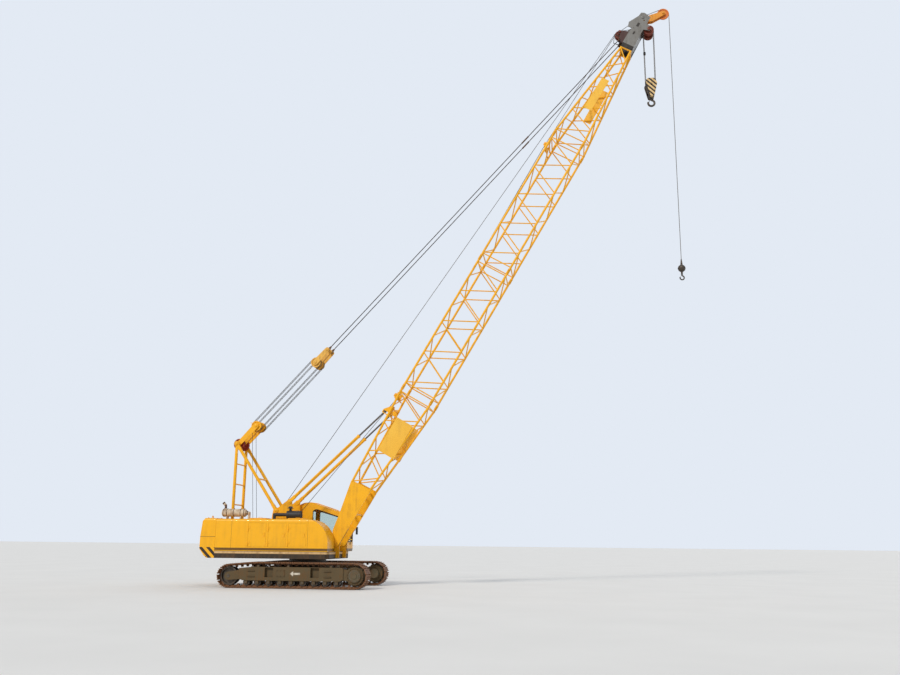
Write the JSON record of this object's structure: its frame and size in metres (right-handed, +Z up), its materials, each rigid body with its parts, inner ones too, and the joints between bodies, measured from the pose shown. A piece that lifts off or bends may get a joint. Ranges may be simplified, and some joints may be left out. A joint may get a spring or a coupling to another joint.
{
  "type": "crawler_crane",
  "caption": "Crawler crane with a three-part revolving upper works, an 11 t class counterweight, a gantry with luffing gear and a 25 m lattice boom, with main block and auxiliary ball",
  "frame": {"origin": "on the ground under the middle of the whole machine, from counterweight tail to auxiliary ball", "axes": "+X the way the boom points, +Y the left side (cab), +Z up"},
  "size_m": [19.1223, 4.3, 24.143],
  "materials": {
    "boom_yellow": "gloss paint, weathered",
    "frame_green": "matt dark paint, dusty",
    "deck_black": "satin paint",
    "bare_steel": "oiled and worn",
    "track_steel": "rusty, polished on the tread",
    "ballast_iron": "painted",
    "muffler_grey": "pale heat-proof paint",
    "black_plastic": "moulded",
    "window_glass": "tinted",
    "board_plastic": "plain board",
    "sheave_orange": "satin paint"
  },
  "bodies": {
    "undercarriage": {"carbody": "frame_green", "slew_ring": "bare_steel", "track_frame_r": "frame_green", "track_frame_l": "frame_green", "track_r": "track_steel", "track_l": "track_steel", "rollers_r": "bare_steel", "rollers_l": "bare_steel", "sprocket_r": "bare_steel", "sprocket_l": "bare_steel", "idler_r": "bare_steel", "idler_l": "bare_steel"},
    "upper": {"upper_frame": "deck_black", "house_right": "boom_yellow", "house_left": "boom_yellow", "counterweight_lower": "ballast_iron", "counterweight_upper": "ballast_iron", "engine": "bare_steel", "hoist_winches": "bare_steel", "luffing_winch": "bare_steel", "gantry_front_legs": "boom_yellow", "gantry_mast": "boom_yellow", "gantry_sheaves": "boom_yellow", "cab_shell": "boom_yellow", "cab_glass": "window_glass", "cab_seat": "black_plastic", "air_cleaner": "black_plastic", "muffler": "muffler_grey", "mirrors": "black_plastic"},
    "boom": {"boom_base": "boom_yellow", "boom_insert_1": "boom_yellow", "boom_insert_2": "boom_yellow", "boom_top": "boom_yellow", "boom_head": "frame_green", "head_sheaves": "bare_steel", "rooster_arm": "sheave_orange", "rooster_sheave": "sheave_orange", "rope_guides": "boom_yellow", "sign_boards": "board_plastic", "pendants": "bare_steel", "bridle": "boom_yellow"},
    "backstop_tubes": {"backstop_tubes": "boom_yellow"},
    "backstop_rods": {"backstop_rods": "bare_steel"},
    "main_hook": {"hook_block": "boom_yellow", "main_hook": "bare_steel"},
    "aux_hook": {"aux_hook": "bare_steel"},
    "cab_door": {"cab_door": "boom_yellow", "cab_door_glass": "window_glass"},
    "door_right_1": {"door_right_1": "boom_yellow"},
    "door_right_2": {"door_right_2": "boom_yellow"},
    "door_right_3": {"door_right_3": "boom_yellow"},
    "door_left_1": {"door_left_1": "boom_yellow"},
    "door_left_2": {"door_left_2": "boom_yellow"}
  },
  "joints": [
    {"name": "slew", "type": "hinge", "parent": "undercarriage", "child": "upper", "pos_m": [-5.43118, 0, 1.06], "axis": [0, 0, 1], "continuous": true},
    {"name": "boom_luff", "type": "hinge", "parent": "upper", "child": "boom", "pos_m": [-4.18118, 0, 1.66], "axis": [0, -1, 0], "range_deg": [-30, 20]},
    {"name": "backstop_swing", "type": "hinge", "parent": "upper", "child": "backstop_tubes", "pos_m": [-6.11118, 0, 3.22], "axis": [0, -1, 0], "range_deg": [-28, 19]},
    {"name": "backstop_slide", "type": "slide", "parent": "backstop_tubes", "child": "backstop_rods", "axis": [0.7248, 0, 0.6889], "range_m": [-0.84, 1.25]},
    {"name": "main_hook_hang", "type": "hinge", "parent": "boom", "child": "main_hook", "pos_m": [8.51363, 0, 23.04805], "axis": [0, -1, 0], "range_deg": [-21, 31]},
    {"name": "aux_hook_hang", "type": "hinge", "parent": "boom", "child": "aux_hook", "pos_m": [9.16488, 0, 23.89604], "axis": [0, -1, 0], "range_deg": [-21, 31]},
    {"name": "cab_door_swing", "type": "hinge", "parent": "upper", "child": "cab_door", "pos_m": [-5.57718, 1.654, 2.3], "axis": [0, 0, 1], "range_deg": [0, 100]},
    {"name": "door_right_1_swing", "type": "hinge", "parent": "upper", "child": "door_right_1", "pos_m": [-7.32718, -1.664, 1.9], "axis": [0, 0, -1], "range_deg": [0, 110]},
    {"name": "door_right_2_swing", "type": "hinge", "parent": "upper", "child": "door_right_2", "pos_m": [-6.54718, -1.664, 1.9], "axis": [0, 0, -1], "range_deg": [0, 110]},
    {"name": "door_right_3_swing", "type": "hinge", "parent": "upper", "child": "door_right_3", "pos_m": [-5.76718, -1.664, 1.9], "axis": [0, 0, -1], "range_deg": [0, 110]},
    {"name": "door_left_1_swing", "type": "hinge", "parent": "upper", "child": "door_left_1", "pos_m": [-7.82718, 1.664, 1.9], "axis": [0, 0, 1], "range_deg": [0, 110]},
    {"name": "door_left_2_swing", "type": "hinge", "parent": "upper", "child": "door_left_2", "pos_m": [-7.02718, 1.664, 1.9], "axis": [0, 0, 1], "range_deg": [0, 110]}
  ],
  "couplings": [
    {"joint": "backstop_swing", "follows": "boom_luff", "ratio": 0.91},
    {"joint": "backstop_slide", "follows": "boom_luff", "m_per_rad": -2.375},
    {"joint": "main_hook_hang", "follows": "boom_luff", "ratio": -1},
    {"joint": "aux_hook_hang", "follows": "boom_luff", "ratio": -1}
  ]
}
